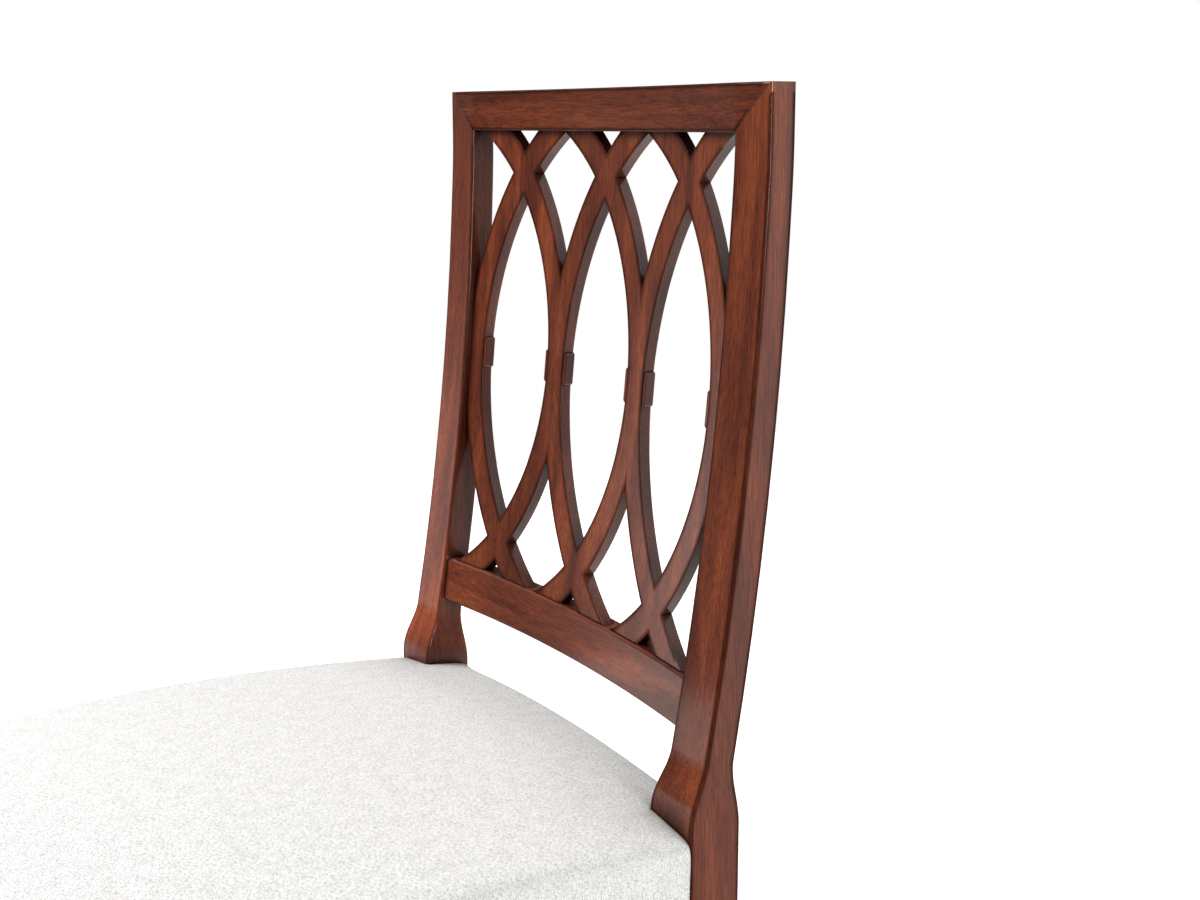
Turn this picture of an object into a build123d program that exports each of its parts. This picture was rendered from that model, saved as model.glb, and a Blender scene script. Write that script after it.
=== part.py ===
from build123d import *
import math
import os

# Side chair with a bowed lattice back and an upholstered seat.
# Millimetres. Seen from the front +X is to the right, +Y points to the back and +Z up. The floor is Z = 0.

# Back frame, stacked upward from the seat
seat_height = 494.0           # top of the crowned seat
back_gap = 35.0               # open gap between the crown and the lower rail
lower_rail_height = 39.0
opening_height = 388.0
crest_height = 34.0
back_width = 483.0
post_width = 41.0             # at the crest
post_width_low = 45.5         # where the post starts to flare
post_depth = 21.3             # at the crest
post_depth_low = 24.4         # where the post starts to flare
lower_rail_depth = 19.0
lower_rail_setback = 2.6      # its top lies behind the front of the posts
lower_rail_tuck = 4.0         # and so does its bottom, as the rail leans less than they do
lower_rail_bevel = 2.0        # bevelled top front edge
bow = 13.3                    # the middle of the back lies this far behind its two ends
sweep_radius = 2900.0         # curve of the posts, seen from the side
sweep_rise = 465.0            # the posts would stand upright this far above the lower rail
sweep_front = 37.0            # front of the posts there, behind their front at the lower rail
upright_length = 4.0          # the posts stand upright from this far below the crest
blend_length = 70.0           # and curve up to that over this length
edge_ease = 1.5               # rounded long edges of the frame
crest_kink_radius = 60.0      # smooths the crest where its bow meets the mitred ends

# Lattice
lattice_thickness = 9.0
lattice_setback = 5.4
lattice_middle = 191.5        # height of the oval's middle above the lower rail
oval_count = 3
arc_radius = 236.0
arc_width = 24.8
neck_trim = 2.4               # the outer bars would reach this far into the posts at the crest
arc_tenon = 5.0
neck_block_height = 27.0
neck_block_reach = 4.0        # how far a block stands out from the neck
neck_block_setback = 0.5      # its faces lie inside the lattice's front and back

# Rear legs
seat_block_width = 53.5
seat_block_outset = 3.0       # the block stands out past the post's outer face
seat_block_front = -24.0
seat_block_depth = 42.5
flare_height = 48.0           # from the top of the block to where the post has its own section
flare_clearance = 11.5        # from there to the lower rail
rear_foot_width = 34.0
rear_foot_depth = 30.0
rear_foot_rake = 55.0         # the foot's front lies this far behind the block's front
rear_foot_slope = 0.22        # lean of the leg at the floor, as run over height

# Seat frame
rail_height = 56.0
rail_thickness = 22.0
rear_rail_setback = 13.0      # behind the front of the rear blocks
seat_depth = 443.0            # from the rear blocks to the front of the rails
seat_front_width = 516.0
seat_rear_width = 484.0
front_leg_size = 44.0
front_foot_size = 28.0
dowel_diameter = 9.0
dowel_length = 40.0
dowel_spacing = 28.0
corner_block_leg = 62.0       # length of the block along each rail, past the leg
corner_block_height = 40.0
block_screw_diameter = 4.5
block_screw_head = 8.5
block_screw_head_height = 3.0
block_screw_bite = 14.0
block_screw_cover = 12.0      # wood left between the screw's head and the rail
spline_length = 30.0
spline_width = 16.0
spline_thickness = 8.0
tenon_length = 18.0
tenon_height = 24.0
tenon_thickness = 11.0

# Upholstery
deck_thickness = 9.0
deck_screw_diameter = 4.0
deck_screw_head = 8.0
deck_screw_length = 28.0
crown_rise = 34.0             # the middle of the seat stands this far above its front corners
pad_edge = 26.0               # height of the pad over the deck at those corners
crown_round = 11.0            # rounded top edge of the cover
side_draw = 5.0               # the sides are drawn in this much from the crown to the bottom edge
cover_thickness = 1.6
seat_corner_radius = 12.0
dust_cover_thickness = 0.8
dust_cover_inset = 8.0

# Feet and fits
glide_diameter = 20.0
glide_height = 5.0
glide_nail_diameter = 2.5
glide_nail_length = 16.0
fit = 0.1                     # clearance all round a glued joint
cloth_gap = 0.3               # clearance between cloth and what it covers

# Derived sizes
half_back = back_width / 2
half_opening = half_back - post_width
lower_rail_bottom = seat_height + back_gap
lower_rail_top = lower_rail_bottom + lower_rail_height
crest_bottom = lower_rail_top + opening_height
total_height = crest_bottom + crest_height
upright_bottom = crest_bottom - upright_length
blend_bottom = upright_bottom - blend_length
sweep_centre_height = lower_rail_top + sweep_rise
flare_top = lower_rail_bottom - flare_clearance
seat_block_top = flare_top - flare_height
lattice_z = lower_rail_top + lattice_middle
oval_pitch = (2 * (half_opening + neck_trim) - arc_width) / oval_count
deck_top = seat_height - crown_rise - pad_edge
rail_top = deck_top - deck_thickness
rail_bottom = rail_top - rail_height
rail_middle = rail_bottom + rail_height / 2
block_outer = half_back + seat_block_outset
block_inner = block_outer - seat_block_width
block_back = seat_block_front + seat_block_depth
foot_front = seat_block_front + rear_foot_rake
foot_back = foot_front + rear_foot_depth
foot_inner = half_back - rear_foot_width
front_y = seat_block_front - seat_depth
front_leg_back = front_y + front_leg_size
rear_rail_front = seat_block_front + rear_rail_setback
rear_rail_back = rear_rail_front + rail_thickness
seat_middle = (front_y + rear_rail_back) / 2
corner_reach = math.hypot(seat_front_width / 2, seat_middle - front_y)
crown_radius = (corner_reach**2 + crown_rise**2) / (2 * crown_rise)
sides = {"left": -1, "right": 1}
far = 2 * total_height        # longer than any cut
along = 0.8                   # an edge runs along an axis if its direction has this share of it


def post_front(z):
    """Front of a back post at height z, seen from the side."""
    rise = sweep_centre_height - z
    return sweep_front - (sweep_radius - math.sqrt(sweep_radius**2 - rise**2))


def post_face(depth_low, depth_high):
    """A post's face from the flare up: its arc, and the short curve that brings it upright below the crest."""
    def at(z):
        share = (z - flare_top) / (upright_bottom - flare_top)
        return (post_front(z) + depth_low + share * (depth_high - depth_low), z)

    arc = ThreePointArc(at(flare_top), at((flare_top + blend_bottom) / 2), at(blend_bottom))
    return arc, Spline(at(blend_bottom), at(upright_bottom), tangents=(arc % 1, (0, 1)))


def post_inner(z):
    """Inner face of the right-hand post at height z; the post widens from the crest down to the flare."""
    return half_opening - (post_width_low - post_width) * (crest_bottom - z) / (crest_bottom - flare_top)


def mirrored(part, side):
    """The right-hand piece as it is, or its mirror image."""
    return part if side > 0 else mirror(part, about=Plane.YZ)


def prism(points, bottom, height):
    """Upright prism on a plan outline."""
    return extrude(Plane.XY.offset(bottom) * make_face(Polyline(*points, close=True)), height)


# Bowed pieces of the back are turned about one upright axis in front of the chair
crest_front = post_front(upright_bottom)
bow_radius = (half_opening**2 + bow**2) / (2 * bow)
bow_axis = Axis((0, crest_front + bow - bow_radius, 0), (0, 0, 1))
bow_angle = 2 * math.degrees(math.asin((half_back + post_width) / bow_radius))
mitre_angle = math.degrees(math.atan2(crest_height, post_width))


def bowed_band(bottom, top, setback, depth):
    """Slice of the back between two heights, set behind the front of the posts."""
    def at(z, behind):
        return (post_front(z) + bow + setback + behind, z)

    middle = (bottom + top) / 2
    outline = [
        ThreePointArc(at(bottom, 0), at(middle, 0), at(top, 0)),
        Line(at(top, 0), at(top, depth)),
        ThreePointArc(at(top, depth), at(middle, depth), at(bottom, depth)),
        Line(at(bottom, depth), at(bottom, 0)),
    ]
    band = revolve(Plane.YZ * make_face(outline), bow_axis, bow_angle)
    return band.rotate(bow_axis, -bow_angle / 2)


def opening(gap=0.0):
    """Everything between the two posts, short of them by a gap."""
    right = [(post_inner(z) - gap, z) for z in (seat_block_top, total_height)]
    outline = make_face(Polyline(*right, *[(-x, z) for x, z in reversed(right)], close=True))
    return extrude(Plane.XZ * outline, far, both=True)


def mitre_keep(above):
    """Everything on the crest's side of the right-hand mitre, or on the post's side."""
    half_space = Box(2 * far, 2 * far, far,
                     align=(Align.CENTER, Align.CENTER, Align.MIN if above else Align.MAX))
    return Pos(half_opening, 0, crest_bottom) * Rot(0, -mitre_angle, 0) * half_space


def mitre_spline(grow=0.0):
    """Loose tongue across the right-hand mitre."""
    centre = Pos((half_opening + half_back) / 2, crest_front + post_depth / 2, (crest_bottom + total_height) / 2)
    tongue = Box(spline_width + 2 * grow, spline_thickness + 2 * grow, spline_length + 2 * grow)
    return centre * Rot(0, -mitre_angle, 0) * tongue


def lower_rail_blank():
    """Lower rail before its joints: a straight-faced section turned about the axis of the bow."""
    top_front = (post_front(lower_rail_top) + bow + lower_rail_setback, lower_rail_top)
    low_front = (post_front(lower_rail_bottom) + bow + lower_rail_tuck, lower_rail_bottom)
    top_back, low_back = [(y + lower_rail_depth, z) for y, z in (top_front, low_front)]
    section = make_face(Polyline(low_front, low_back, top_back, top_front, close=True))
    bevels = {top_front: lower_rail_bevel, top_back: edge_ease, low_front: edge_ease, low_back: edge_ease}
    for corner, size in bevels.items():
        section = chamfer(section.vertices().sort_by_distance(corner)[0], size)
    blank = revolve(Plane.YZ * section, bow_axis, bow_angle)
    return blank.rotate(bow_axis, -bow_angle / 2) & opening()


def lower_rail_tenon(grow=0.0):
    """Stub tenon of the lower rail in the right-hand post."""
    middle = (lower_rail_top + lower_rail_bottom) / 2
    y = post_front(middle) + (lower_rail_setback + lower_rail_tuck + lower_rail_depth) / 2
    size = Box(2 * (tenon_length + grow), tenon_thickness + 2 * grow, tenon_height + 2 * grow)
    return Pos(post_inner(middle), y, middle) * size


def back_post():
    """Right-hand post and rear leg, sawn to its outline from the side and from the front."""
    front_arc, front_end = post_face(0, 0)
    back_arc, back_end = post_face(post_depth_low, post_depth)
    front_top = (crest_front, total_height)
    back_top = (crest_front + post_depth, total_height)
    inner_low = (post_inner(flare_top), flare_top)
    inner_high = (post_inner(total_height), total_height)
    inner_down = (inner_low[0] - inner_high[0], inner_low[1] - inner_high[1])
    up = (0, 1)
    down = (0, -1)
    rake = (-rear_foot_slope, 1)
    rake_down = (rear_foot_slope, -1)
    from_side = [
        Line(back_top, front_top),
        Line(front_top, front_end @ 1),
        front_end,
        front_arc,
        Spline(front_arc @ 0, (seat_block_front, seat_block_top), tangents=(-(front_arc % 0), down)),
        Line((seat_block_front, seat_block_top), (seat_block_front, rail_bottom)),
        Spline((seat_block_front, rail_bottom), (foot_front, glide_height), tangents=(down, rake_down)),
        Line((foot_front, glide_height), (foot_back, glide_height)),
        Spline((foot_back, glide_height), (block_back, rail_bottom), tangents=(rake, up)),
        Line((block_back, rail_bottom), (block_back, seat_block_top)),
        Spline((block_back, seat_block_top), back_arc @ 0, tangents=(up, back_arc % 0)),
        back_arc,
        back_end,
        Line(back_end @ 1, back_top),
    ]
    from_front = [
        Line(inner_high, inner_low),
        Spline(inner_low, (block_inner, seat_block_top), tangents=(inner_down, down)),
        Line((block_inner, seat_block_top), (block_inner, rail_bottom)),
        Line((block_inner, rail_bottom), (foot_inner, glide_height)),
        Line((foot_inner, glide_height), (half_back, glide_height)),
        Line((half_back, glide_height), (block_outer, rail_bottom)),
        Line((block_outer, rail_bottom), (block_outer, seat_block_top)),
        Spline((block_outer, seat_block_top), (half_back, flare_top), tangents=(up, up)),
        Line((half_back, flare_top), (half_back, total_height)),
        Line((half_back, total_height), inner_high),
    ]
    slab = extrude(Plane.YZ * make_face(from_side), back_width)
    sheet = extrude(Plane.XZ * make_face(from_front), far, both=True)
    return slab & sheet


def long_edges(part):
    """Edges that run mostly upright."""
    return [e for e in part.edges() if abs((e % 0.5).Z) > along]


def crest_blank():
    """Crest rail before its ends are mitred: a bowed plan with two straight ends."""
    def edge(y):
        return [(-half_back, y), (-half_opening, y), (0, y + bow), (half_opening, y), (half_back, y)]

    near = edge(crest_front)
    away = edge(crest_front + post_depth)
    outline = [
        Line(near[0], near[1]),
        ThreePointArc(*near[1:4]),
        Line(near[3], near[4]),
        Line(near[4], away[4]),
        Line(away[4], away[3]),
        ThreePointArc(*away[3:0:-1]),
        Line(away[1], away[0]),
        Line(away[0], near[0]),
    ]
    crest = extrude(Plane.XY.offset(crest_bottom) * make_face(outline), crest_height)
    kinks = [e for e in long_edges(crest) if abs(e.center().X) < half_back - edge_ease]
    crest = fillet(kinks, crest_kink_radius)
    ridges = [e for e in crest.edges() if abs((e % 0.5).X) > along]
    return fillet(ridges, edge_ease)


def ring(oval, side, grow=0.0):
    """Ring that one bar of an oval is cut from, kept inside that oval's own share of the opening."""
    middle = (oval - (oval_count - 1) / 2) * oval_pitch
    centre = middle + side * (oval_pitch / 2 - arc_radius)
    section = Circle(arc_radius + arc_width / 2 + grow) - Circle(arc_radius - arc_width / 2 - grow)
    low = -half_back if oval == 0 else middle - oval_pitch / 2
    high = half_back if oval == oval_count - 1 else middle + oval_pitch / 2
    share = Pos((low + high) / 2, 0, lattice_z) * Box(high - low - fit, far, total_height)
    return extrude(Plane.XZ * Pos(centre, lattice_z) * section, far / 2, both=True) & share & opening(fit / 2)


def lattice_arc(oval, side, sheet, laps):
    """One curved bar, halved where the oval's other bar crosses it."""
    other = ring(oval, -side, fit)
    bar = ring(oval, side) & sheet
    for lap in laps:
        bar -= other & lap
    return bar


def neck_block(oval, side, band):
    """Small block in the hollow of one bar, at the middle of its height."""
    neck = (oval - (oval_count - 1) / 2 + side / 2) * oval_pitch
    inner = arc_width / 4
    outer = arc_width / 2 + neck_block_reach
    outline = Pos(neck - side * (inner + outer) / 2, lattice_z) * Rectangle(outer - inner, neck_block_height)
    corners = [v for v in outline.vertices() if (neck - v.X) * side > arc_width / 2]
    outline = chamfer(corners, edge_ease)
    block = extrude(Plane.XZ * outline, far / 2, both=True) & band
    return block - ring(oval, side, fit)


def side_x(y):
    """Outer face of the right-hand seat rail."""
    share = (seat_block_front - y) / seat_depth
    return (seat_rear_width + share * (seat_front_width - seat_rear_width)) / 2


leg_outer = side_x(front_leg_back)
leg_inner = leg_outer - front_leg_size


def seat_blank(inset):
    """Crowned seat down to the bottom of its rails; inset 0 is the outside of the cover."""
    def plan(z):
        draw = side_draw * (z - rail_bottom) / (seat_height - rail_bottom)
        outset = cloth_gap + cover_thickness - inset + draw
        ends = (rear_rail_back + outset, front_y - outset)
        right = [(side_x(y) + outset, y) for y in ends]
        return Plane.XY.offset(z) * make_face(Polyline(*right, *[(-x, y) for x, y in reversed(right)], close=True))

    pad = loft([plan(rail_bottom - inset), plan(seat_height)], ruled=True)
    pad = fillet(long_edges(pad), seat_corner_radius - inset)
    pad &= Pos(0, seat_middle, seat_height - crown_radius) * Rot(90, 0, 0) * Sphere(crown_radius - inset)
    return fillet(pad.faces().sort_by(Axis.Z)[-1].edges(), crown_round - inset)


def seat_pad(inset):
    """The same seat, notched round the rear blocks."""
    pad = seat_blank(inset)
    room = cloth_gap + inset
    notch = Box(seat_front_width, seat_depth, far, align=(Align.MIN, Align.MIN, Align.CENTER))
    for side in sides.values():
        pad -= mirrored(Pos(block_inner - room, seat_block_front - room, 0) * notch, side)
    return pad


def slice_between(part, bottom, top):
    """What lies between two heights."""
    return part & Pos(0, 0, bottom) * Box(far, far, top - bottom, align=(Align.CENTER, Align.CENTER, Align.MIN))


def front_leg():
    """Right-hand front leg, tapered on its two inner faces below the seat."""
    def section(size, z):
        return Pos(leg_outer, front_y, z) * Rectangle(size, size, align=(Align.MAX, Align.MIN))

    shank = loft([section(front_foot_size, glide_height), section(front_leg_size, rail_bottom)], ruled=True)
    shank = fillet(long_edges(shank), edge_ease)
    head = extrude(section(front_leg_size, rail_bottom), rail_height)
    middle = head.center()
    under_corner = [e for e in long_edges(head) if e.center().X > middle.X and e.center().Y < middle.Y]
    return shank + fillet(under_corner, seat_corner_radius - cover_thickness - cloth_gap)


def side_rail():
    """Right-hand seat rail, from the rear block to the front leg."""
    ends = [seat_block_front, front_leg_back]
    outline = [(side_x(y), y) for y in ends] + [(side_x(y) - rail_thickness, y) for y in reversed(ends)]
    return prism(outline, rail_bottom, rail_height)


def cross_rail(half_length, front):
    """Seat rail from side to side."""
    place = Pos(0, front, rail_bottom)
    return place * Box(2 * half_length, rail_thickness, rail_height, align=(Align.CENTER, Align.MIN, Align.MIN))


def dowels(grow=0.0):
    """Pairs of dowels in the four joints of the right-hand side."""
    half = rail_thickness / 2
    joints = [
        (side_x(seat_block_front) - half, seat_block_front, Rot(90, 0, 0)),
        (side_x(front_leg_back) - half, front_leg_back, Rot(90, 0, 0)),
        (leg_inner, front_y + half, Rot(0, 90, 0)),
        (block_inner, rear_rail_front + half, Rot(0, 90, 0)),
    ]
    peg = Cylinder(dowel_diameter / 2 + grow, dowel_length + 2 * grow)
    heights = [rail_middle - dowel_spacing / 2, rail_middle + dowel_spacing / 2]
    return [Pos(x, y, z) * turn * peg for x, y, turn in joints for z in heights]


def corner_block(corner_y, leg_x, leg_y, way):
    """Right-hand corner block; way is 1 where it reaches backward from its rail, -1 forward."""
    tip_y = leg_y + way * corner_block_leg
    outline = [
        (leg_x - corner_block_leg, corner_y),
        (side_x(corner_y) - rail_thickness, corner_y),
        (side_x(tip_y) - rail_thickness, tip_y),
    ]
    return prism(outline, rail_middle - corner_block_height / 2, corner_block_height)


def block_screw(grow=0.0, head_room=0.0):
    """Screw that points along +Z, with the rail's face at Z = 0; head_room opens the hole behind the head."""
    shank = Cylinder(block_screw_diameter / 2 + grow, block_screw_cover + block_screw_bite + grow,
                     align=(Align.CENTER, Align.CENTER, Align.MIN))
    head = Cylinder(block_screw_head / 2 + grow, block_screw_head_height + head_room,
                    align=(Align.CENTER, Align.CENTER, Align.MAX))
    return Pos(0, 0, -block_screw_cover) * (shank + head)


def screw_places(corner_y, leg_x, leg_y, way):
    """The two screws of a corner block, into the cross rail and into the side rail."""
    y = leg_y + way * corner_block_leg / 2
    slope = math.degrees(math.atan2(side_x(y) - side_x(y + 1), 1))
    return [
        Pos(leg_x - corner_block_leg / 2, corner_y, rail_middle) * Rot(90 * way, 0, 0),
        Pos(side_x(y) - rail_thickness, y, rail_middle) * Rot(0, 90, 0) * Rot(-slope, 0, 0),
    ]


def deck_screw(grow=0.0):
    """Countersunk screw with its head at Z = 0, pointing down."""
    down = (Align.CENTER, Align.CENTER, Align.MAX)
    thin = deck_screw_diameter / 2 + grow
    wide = deck_screw_head / 2 + grow
    return Cylinder(thin, deck_screw_length + grow, align=down) + Cone(thin, wide, wide - thin, align=down)


def deck_screw_places():
    """Screws along the middle of each seat rail, on the right-hand side."""
    half = rail_thickness / 2
    thirds = [front_leg_back + share * (seat_block_front - front_leg_back) for share in (1 / 3, 2 / 3)]
    spots = [(leg_inner / 2, front_y + half), (block_inner / 2, rear_rail_front + half)]
    spots += [(side_x(y) - half, y) for y in thirds]
    return [Pos(x, y, deck_top) for x, y in spots]


def dust_cover():
    """Cloth under the seat rails, cut round the legs."""
    rear = rear_rail_back - dust_cover_inset
    front = front_y + dust_cover_inset
    right = [(side_x(y) - dust_cover_inset, y) for y in (rear, front)]
    cloth = prism(right + [(-x, y) for x, y in reversed(right)], rail_bottom - dust_cover_thickness,
                  dust_cover_thickness)
    rear_size = (seat_block_width + 2 * dust_cover_inset, seat_block_depth + 2 * dust_cover_inset)
    rear_cut = Pos((block_inner + block_outer) / 2, seat_block_front + seat_block_depth / 2)
    front_size = front_leg_size + 2 * dust_cover_inset
    front_cut = Pos(leg_outer - front_leg_size / 2, front_y + front_leg_size / 2)
    for side in sides.values():
        cloth -= mirrored(rear_cut * Box(*rear_size, far), side)
        cloth -= mirrored(front_cut * Box(front_size, front_size, far), side)
    return cloth


def glide(grow=0.0):
    """Nail-on glide standing on the floor."""
    low = (Align.CENTER, Align.CENTER, Align.MIN)
    pad = Cylinder(glide_diameter / 2, glide_height, align=low)
    pad = fillet(pad.edges().sort_by(Axis.Z)[0], edge_ease)
    nail = Cylinder(glide_nail_diameter / 2 + grow, glide_height + glide_nail_length + grow, align=low)
    return pad + nail


# Back posts, crest and lower rail
nodes = {}
pegs = dowels()
peg_holes = dowels(fit)
rear_glide = Pos((foot_inner + half_back) / 2, (foot_front + foot_back) / 2, 0)
front_glide = Pos(leg_outer - front_foot_size / 2, front_y + front_foot_size / 2, 0)

post = back_post()
post = fillet(long_edges(post), edge_ease) & mitre_keep(above=False)
post = post - mitre_spline(fit) - lower_rail_tenon(fit) - peg_holes - rear_glide * glide(fit)
for name, side in sides.items():
    nodes["back_post_" + name] = mirrored(post, side)

arcs = [(oval, side) for oval in range(oval_count) for side in (-1, 1)]
sockets = bowed_band(lower_rail_top - arc_tenon - fit, crest_bottom + arc_tenon + fit,
                     lattice_setback - fit, lattice_thickness + 2 * fit)
feet = [ring(oval, side, fit) & sockets for oval, side in arcs]

crest = crest_blank()
for side in sides.values():
    crest = (crest & mirrored(mitre_keep(above=True), side)) - mirrored(mitre_spline(fit), side)
nodes["crest_rail"] = crest - feet

lower_rail = lower_rail_blank()
for side in sides.values():
    lower_rail += mirrored(lower_rail_tenon(), side)
nodes["lower_back_rail"] = lower_rail - feet
nodes["mitre_splines"] = [mirrored(mitre_spline(), side) for side in sides.values()]

# Lattice
half = lattice_thickness / 2
sheet = bowed_band(lower_rail_top - arc_tenon, crest_bottom + arc_tenon, lattice_setback, lattice_thickness)
front_laps = [bowed_band(low, high, lattice_setback - half, 2 * half + fit / 2)
              for low, high in ((lower_rail_bottom, lattice_z), (lattice_z, total_height))]
back_laps = [bowed_band(low, high, lattice_setback + half - fit / 2, 2 * half)
             for low, high in ((lower_rail_bottom, lattice_z), (lattice_z, total_height))]
laps = {1: (front_laps[0], back_laps[1]), -1: (back_laps[0], front_laps[1])}
for number, (oval, side) in enumerate(arcs, 1):
    nodes[f"lattice_arc_{number}"] = lattice_arc(oval, side, sheet, laps[side])

block_band = bowed_band(lattice_z - neck_block_height, lattice_z + neck_block_height,
                        lattice_setback + neck_block_setback, lattice_thickness - 2 * neck_block_setback)
for neck in range(oval_count + 1):
    owners = [arc for arc in arcs if arc in ((neck - 1, 1), (neck, -1))]
    nodes[f"neck_blocks_{neck + 1}"] = [neck_block(oval, side, block_band) for oval, side in owners]

# Legs and seat frame
deck_holes = [spot * deck_screw(fit) for spot in deck_screw_places()]
leg = front_leg() - peg_holes - front_glide * glide(fit)
rail = side_rail() - peg_holes - deck_holes
corners = {
    "front": (front_y + rail_thickness, leg_inner, front_leg_back, 1),
    "rear": (rear_rail_front, block_inner, seat_block_front, -1),
}
posts = {"front": front_leg(), "rear": back_post()}
screws = []
for place, corner in corners.items():
    spots = screw_places(*corner)
    holes = [spot * block_screw(fit, corner_block_leg) for spot in spots]
    block = corner_block(*corner) - posts[place] - holes
    rail -= holes
    screws += [spot * block_screw() for spot in spots]
    for name, side in sides.items():
        nodes[f"corner_block_{place}_{name}"] = mirrored(block, side)
for name, side in sides.items():
    nodes["front_leg_" + name] = mirrored(leg, side)
    nodes["side_seat_rail_" + name] = mirrored(rail, side)

cross_rails = {"front_seat_rail": cross_rail(leg_inner, front_y),
               "rear_seat_rail": cross_rail(block_inner, rear_rail_front)}
screw_holes = [spot * block_screw(fit) for corner in corners.values() for spot in screw_places(*corner)]
for name, cross in cross_rails.items():
    for side in sides.values():
        for cut in peg_holes + screw_holes + deck_holes:
            cross -= mirrored(cut, side)
    nodes[name] = cross
nodes["rail_dowels"] = [mirrored(peg, side) for side in sides.values() for peg in pegs]
nodes["corner_block_screws"] = [mirrored(screw, side) for side in sides.values() for screw in screws]

# Upholstery
stuffing = seat_pad(cover_thickness + cloth_gap)
deck = slice_between(stuffing, rail_top, deck_top)
for side in sides.values():
    deck -= [mirrored(hole, side) for hole in deck_holes]
nodes["seat_deck"] = deck
nodes["deck_screws"] = [mirrored(spot * deck_screw(), side) for side in sides.values()
                        for spot in deck_screw_places()]
nodes["seat_foam"] = slice_between(stuffing, deck_top, seat_height)
rail_room = slice_between(seat_blank(cover_thickness), rail_bottom - cover_thickness, rail_top + cloth_gap)
nodes["seat_cover"] = seat_pad(0) - seat_pad(cover_thickness) - rail_room
nodes["dust_cover"] = dust_cover()

# Feet
nodes["leg_glides"] = [mirrored(spot * glide(), side) for side in sides.values()
                       for spot in (rear_glide, front_glide)]

solids = {name: Compound(list(part)) if isinstance(part, list) else part for name, part in nodes.items()}
boxes = [part.bounding_box() for part in solids.values()]
middle = (min(box.min.Y for box in boxes) + max(box.max.Y for box in boxes)) / 2
os.makedirs("parts", exist_ok=True)
for name, part in solids.items():
    export_step(Pos(0, -middle, 0) * part, f"parts/{name}.step")
print(len(solids), "nodes, Y moved by", round(-middle, 3), "mm")
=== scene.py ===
# %% [markdown]
# A wooden side chair with a lattice back, dressed for a picture.
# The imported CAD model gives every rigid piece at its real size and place. Nothing rigid is moved here: this script
# gives the woods their grain and lacquer, pads the seat with simulated cloth, stretches the cloth under the seat and
# sets up the studio. Lengths are metres. Seen by someone who faces the chair, +X is right, +Y goes back and +Z is up.

# %% Load the frame
import bpy
import bmesh
import math
import numpy as np
from mathutils import Matrix, Vector


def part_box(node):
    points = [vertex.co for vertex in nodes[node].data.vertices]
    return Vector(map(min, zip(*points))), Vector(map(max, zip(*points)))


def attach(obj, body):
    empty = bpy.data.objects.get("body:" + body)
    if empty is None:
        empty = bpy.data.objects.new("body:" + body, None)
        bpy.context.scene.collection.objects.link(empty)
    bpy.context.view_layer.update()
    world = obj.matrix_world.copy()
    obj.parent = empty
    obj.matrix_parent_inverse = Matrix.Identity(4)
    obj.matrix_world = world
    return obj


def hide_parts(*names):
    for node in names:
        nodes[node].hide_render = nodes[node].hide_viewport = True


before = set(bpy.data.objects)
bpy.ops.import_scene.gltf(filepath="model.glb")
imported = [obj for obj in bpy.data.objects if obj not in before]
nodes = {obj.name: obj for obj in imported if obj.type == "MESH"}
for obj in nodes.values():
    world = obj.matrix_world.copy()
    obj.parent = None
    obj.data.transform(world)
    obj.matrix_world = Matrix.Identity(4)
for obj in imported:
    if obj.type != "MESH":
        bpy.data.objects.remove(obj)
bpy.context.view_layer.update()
scene = bpy.context.scene
mm = 0.001

# %% [markdown]
# Where things are. The seat is covered over its rails, so the rails, the deck board and the rear legs' blocks give the
# cloth its outline. Heights and depths are read from their boxes. The seat's half widths at the front and at the rear
# and the draw of its sides are copied from the CAD source, so they have to be changed here too if they change there.

# %% Measure the seat frame
rail_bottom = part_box("front_seat_rail")[0][2]
rail_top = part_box("front_seat_rail")[1][2]
deck_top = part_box("seat_deck")[1][2]
crown_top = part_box("seat_cover")[1][2]
front_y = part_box("front_seat_rail")[0][1]
rear_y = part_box("rear_seat_rail")[1][1]
block_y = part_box("side_seat_rail_right")[1][1]
block_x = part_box("rear_seat_rail")[1][0]
seat_front_half = 258 * mm
seat_rear_half = 242 * mm
side_draw = 5 * mm
middle_y = (front_y + rear_y) / 2


def side_x(y):
    """Outer face of the right-hand seat rail."""
    share = (block_y - y) / (block_y - front_y)
    return seat_rear_half + share * (seat_front_half - seat_rear_half)


print("seat rails", round(rail_bottom, 4), "to", round(rail_top, 4), "crown", round(crown_top, 4))

# %% [markdown]
# Small helpers for shader trees. A material is a chain of nodes, so short functions keep the cells readable. They make
# an empty material, add a node with its values, join two sockets, and set up colour ramps, sums, ranges and layers.


# %% Shader helpers
def new_material(name):
    """Material with a bare Principled shader."""
    material = bpy.data.materials.new(name)
    material.use_nodes = True
    tree = material.node_tree
    return material, tree, tree.nodes["Principled BSDF"]


def add(tree, kind, values=None, **settings):
    """Adds a node, sets its properties and the values of its named or numbered inputs."""
    node = tree.nodes.new("ShaderNode" + kind)
    for key, value in settings.items():
        setattr(node, key, value)
    for key, value in (values or {}).items():
        node.inputs[key].default_value = value
    return node


def join(tree, out, into):
    """Links an output socket to an input socket."""
    tree.links.new(out, into)


def ramp(tree, stops):
    """Colour ramp from (position, colour) pairs; a plain number makes a grey."""
    node = add(tree, "ValToRGB")
    band = node.color_ramp.elements
    while len(band) < len(stops):
        band.new(0.5)
    for element, (position, colour) in zip(band, stops):
        element.position = position
        element.color = (*colour, 1) if isinstance(colour, tuple) else (colour, colour, colour, 1)
    return node


def number(tree, operation, first, second=0.0, third=0.0):
    """Math node; each input is a socket or a plain number."""
    node = add(tree, "Math", operation=operation)
    for slot, value in enumerate((first, second, third)):
        if isinstance(value, (int, float)):
            node.inputs[slot].default_value = value
        else:
            join(tree, value, node.inputs[slot])
    return node.outputs[0]


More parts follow.
